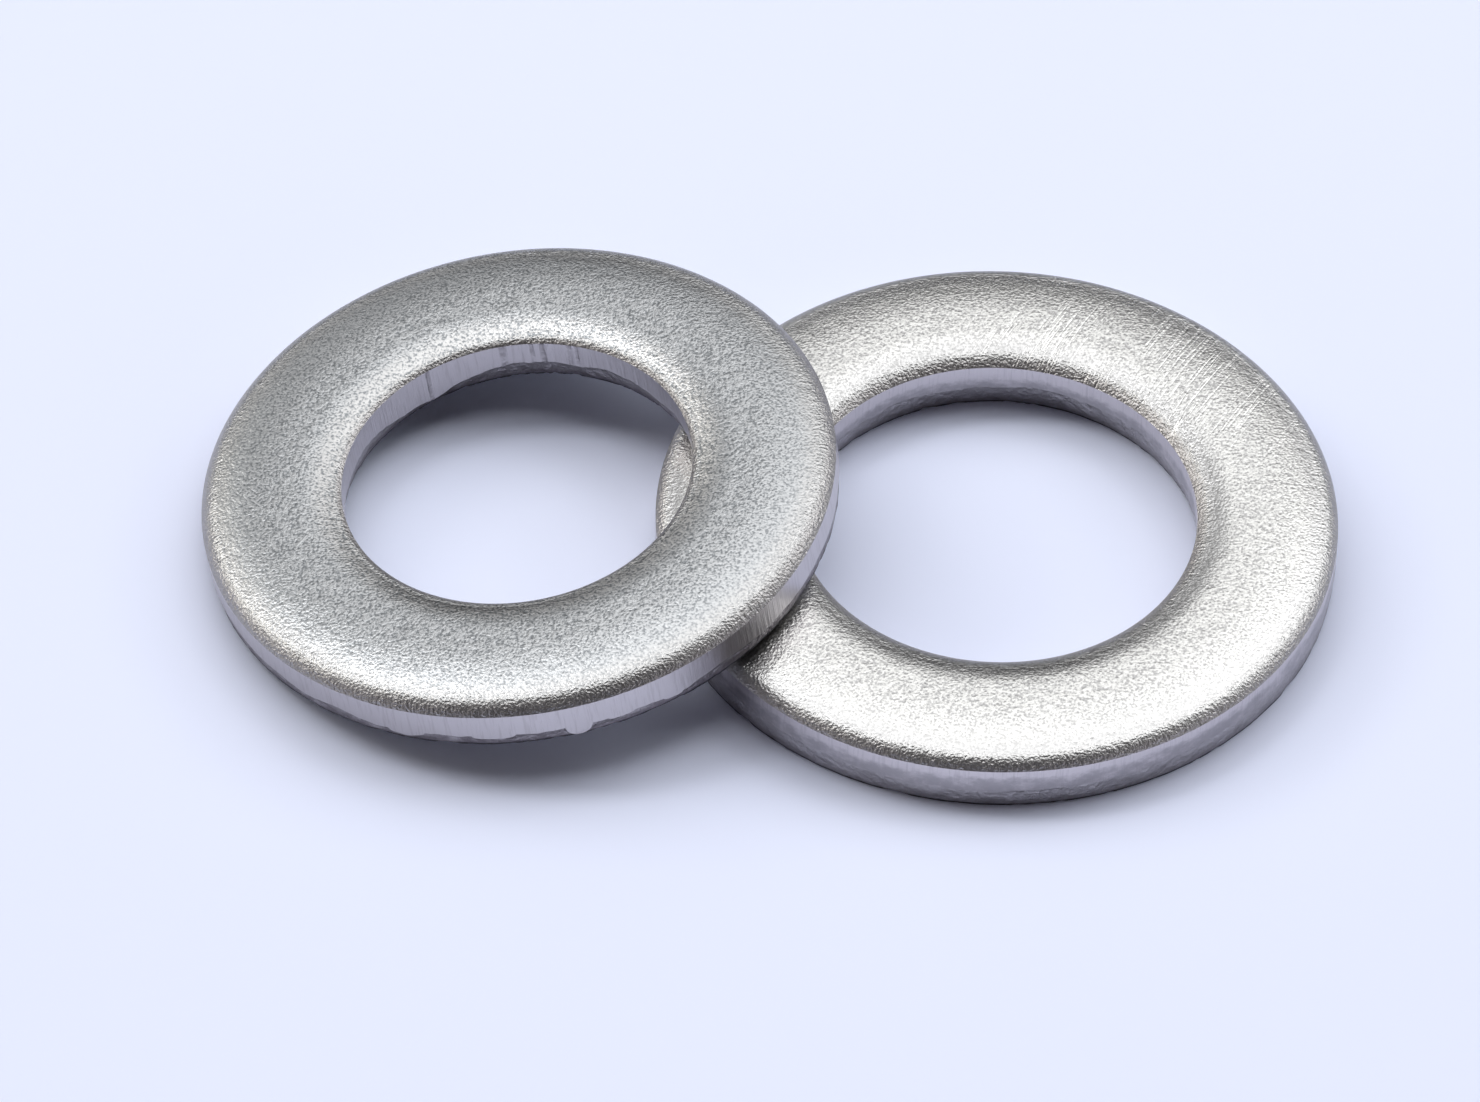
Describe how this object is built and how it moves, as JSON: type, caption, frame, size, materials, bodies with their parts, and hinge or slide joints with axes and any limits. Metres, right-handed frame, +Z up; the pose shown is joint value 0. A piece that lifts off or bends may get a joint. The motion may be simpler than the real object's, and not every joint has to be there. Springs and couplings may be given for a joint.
{
  "type": "pair of flat washers",
  "caption": "Punched flat steel washers, a larger one lying flat and a smaller one leaning on its rim; each spreads the load of a screw head or nut over a ring of face around its bore.",
  "frame": {"origin": "on the surface that the pair lies on, in the middle of the space it takes up in plan", "axes": "+X from the leaning washer to the lower one, +Z up, so the lower washer's axis is along +Z"},
  "size_m": [0.0266, 0.016, 0.0032],
  "materials": {
    "bright_washer": "bright hammered grain on the top face, with fine scratches; burnished and broken punched walls",
    "matte_washer": "fine matte tumbled grain on the top face; burnished and broken punched walls"
  },
  "bodies": {
    "root": {"lower_washer": "bright_washer", "leaning_washer": "matte_washer"}
  },
  "joints": []
}
